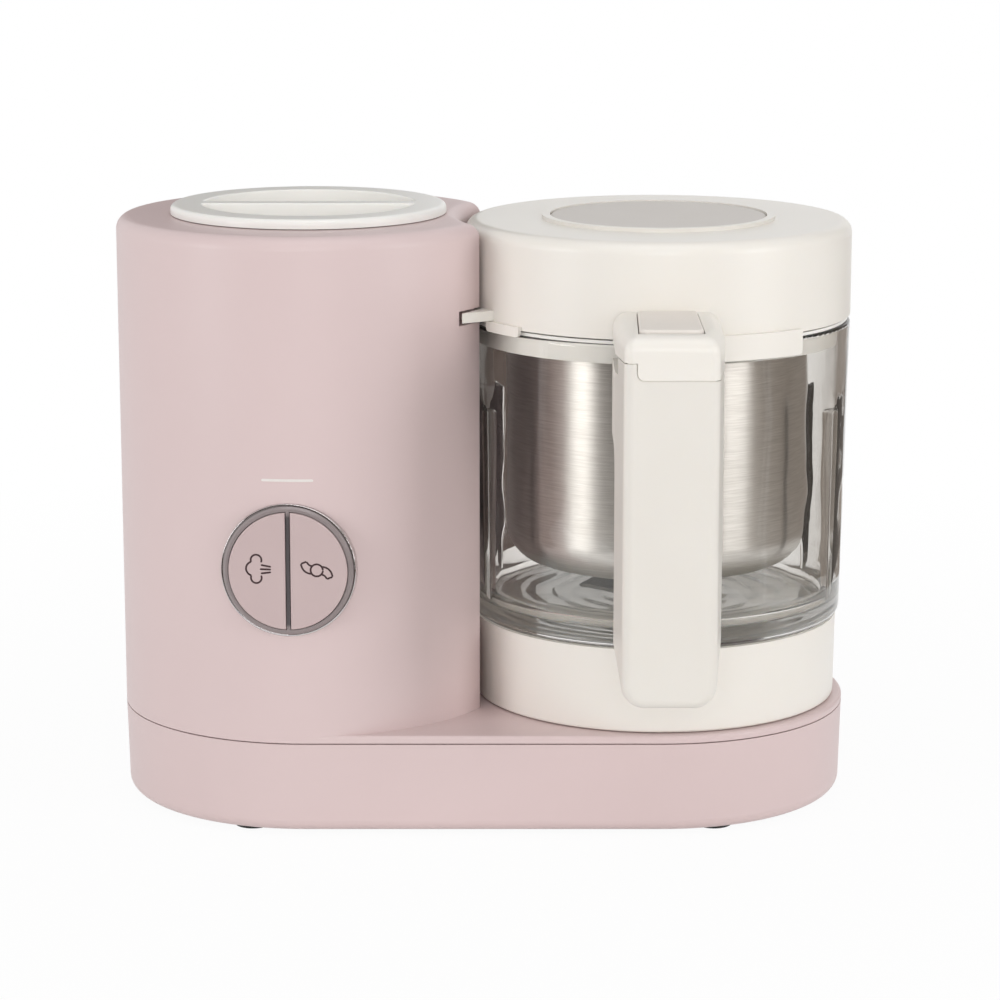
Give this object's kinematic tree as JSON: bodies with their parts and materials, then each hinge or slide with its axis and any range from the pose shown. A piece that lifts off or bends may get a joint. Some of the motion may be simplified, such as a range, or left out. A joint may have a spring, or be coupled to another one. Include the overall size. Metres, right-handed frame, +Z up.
{
  "type": "baby food steamer and blender",
  "caption": "Counter-top steamer and blender: round tank tower with push buttons beside a glass bowl with handle, steel steaming basket, blade and twist-off lid.",
  "frame": {"origin": "middle of the footprint box, on the surface that the feet stand on", "axes": "+X from the tank tower towards the bowl, the handle and the buttons face -Y, +Z up"},
  "size_m": [0.3026, 0.2094, 0.248],
  "materials": {
    "pink_shell": "satin",
    "cream_plastic": "satin",
    "white_plastic": "satin",
    "grey_plastic": "satin",
    "grey_lens": "satin",
    "chrome_trim": "polished",
    "clear_glass": "clear",
    "stainless": "brushed",
    "dark_rubber": "matte",
    "white_silicone": "matte",
    "dark_plastic": "matte",
    "steel_screw": "plain",
    "zinc_plate": "plain",
    "brass_bush": "plain",
    "board_laminate": "matte"
  },
  "bodies": {
    "unit": {"upper_housing": "pink_shell", "base_tray": "pink_shell", "rubber_feet": "dark_rubber", "base_screws": "steel_screw", "cord_gland": "pink_shell", "filler_neck": "white_plastic", "neck_seal": "white_silicone", "water_tank": "stainless", "heating_ring": "stainless", "thermostat": "dark_plastic", "steam_pipe": "white_silicone", "steam_nozzle": "white_plastic", "motor_mount": "zinc_plate", "motor_body": "zinc_plate", "mount_screws": "steel_screw", "drive_belt": "dark_rubber", "spindle_bush": "brass_bush", "panel_carrier": "white_plastic", "control_board": "board_laminate", "button_switches": "dark_plastic", "light_ring": "grey_lens", "button_bezel": "chrome_trim", "interlock_switch": "dark_plastic"},
    "steam_button": {"steam_button": "pink_shell"},
    "blend_button": {"blend_button": "pink_shell"},
    "cap_seal": {"cap_seal": "white_silicone"},
    "cap": {"tank_cap": "white_plastic", "cap_plug": "white_plastic"},
    "drive": {"drive_spindle": "stainless", "driven_pulley": "dark_plastic", "drive_dog": "dark_plastic"},
    "motor_rotor": {"motor_shaft": "stainless", "motor_pulley": "dark_plastic", "motor_fan": "dark_plastic"},
    "bowl": {"glass_bowl": "clear_glass", "bowl_base": "cream_plastic", "bowl_seal": "white_silicone", "blade_bush": "brass_bush", "bush_nut": "dark_plastic", "handle_grip": "cream_plastic", "handle_back": "cream_plastic", "handle_screws": "steel_screw"},
    "blade": {"blade_shaft": "stainless", "blade_hub": "dark_plastic", "blade_lower": "stainless", "blade_upper": "stainless", "blade_dog": "dark_plastic"},
    "lid_seal": {"lid_seal": "white_silicone"},
    "lid": {"lid_shell": "cream_plastic", "lid_disc": "grey_plastic", "lid_liner": "cream_plastic"},
    "lid_button": {"lid_button": "grey_plastic"},
    "basket": {"steam_basket": "stainless", "basket_rim": "cream_plastic"}
  },
  "joints": [
    {"name": "steam_press", "type": "slide", "parent": "unit", "child": "steam_button", "axis": [0.0663, 0.9978, 0], "range_m": [0, 0.0015], "stiffness_N_per_m": 500},
    {"name": "blend_press", "type": "slide", "parent": "unit", "child": "blend_button", "axis": [0.0663, 0.9978, 0], "range_m": [0, 0.0015], "stiffness_N_per_m": 500},
    {"name": "cap_lift", "type": "slide", "parent": "unit", "child": "cap_seal", "axis": [0, 0, 1], "range_m": [0, 0.06]},
    {"name": "cap_turn", "type": "hinge", "parent": "cap_seal", "child": "cap", "pos_m": [-0.07225, 0.02525, 0.1], "axis": [0, 0, 1], "range_deg": [0, 90]},
    {"name": "drive_spin", "type": "hinge", "parent": "unit", "child": "drive", "pos_m": [0.07175, 0.02525, 0.1], "axis": [0, 0, 1], "continuous": true},
    {"name": "motor_spin", "type": "hinge", "parent": "unit", "child": "motor_rotor", "pos_m": [-0.07225, 0.02525, 0.1], "axis": [0, 0, 1], "continuous": true},
    {"name": "bowl_lift", "type": "slide", "parent": "unit", "child": "bowl", "axis": [0, 0, 1], "range_m": [0, 0.12]},
    {"name": "blade_spin", "type": "hinge", "parent": "bowl", "child": "blade", "pos_m": [0.07175, 0.02525, 0.1], "axis": [0, 0, 1], "continuous": true},
    {"name": "lid_lift", "type": "slide", "parent": "bowl", "child": "lid_seal", "axis": [0, 0, 1], "range_m": [0, 0.25]},
    {"name": "lid_turn", "type": "hinge", "parent": "lid_seal", "child": "lid", "pos_m": [0.07175, 0.02525, 0.1], "axis": [0, 0, 1], "range_deg": [0, 35]},
    {"name": "lid_press", "type": "slide", "parent": "lid", "child": "lid_button", "axis": [0, 0, -1], "range_m": [0, 0.002], "stiffness_N_per_m": 600},
    {"name": "basket_lift", "type": "slide", "parent": "bowl", "child": "basket", "axis": [0, 0, 1], "range_m": [0, 0.1125]}
  ],
  "couplings": [
    {"joint": "motor_spin", "follows": "drive_spin", "ratio": 3.5},
    {"joint": "blade_spin", "follows": "drive_spin", "ratio": 1},
    {"joint": "basket_lift", "follows": "lid_lift", "ratio": 0.45}
  ]
}
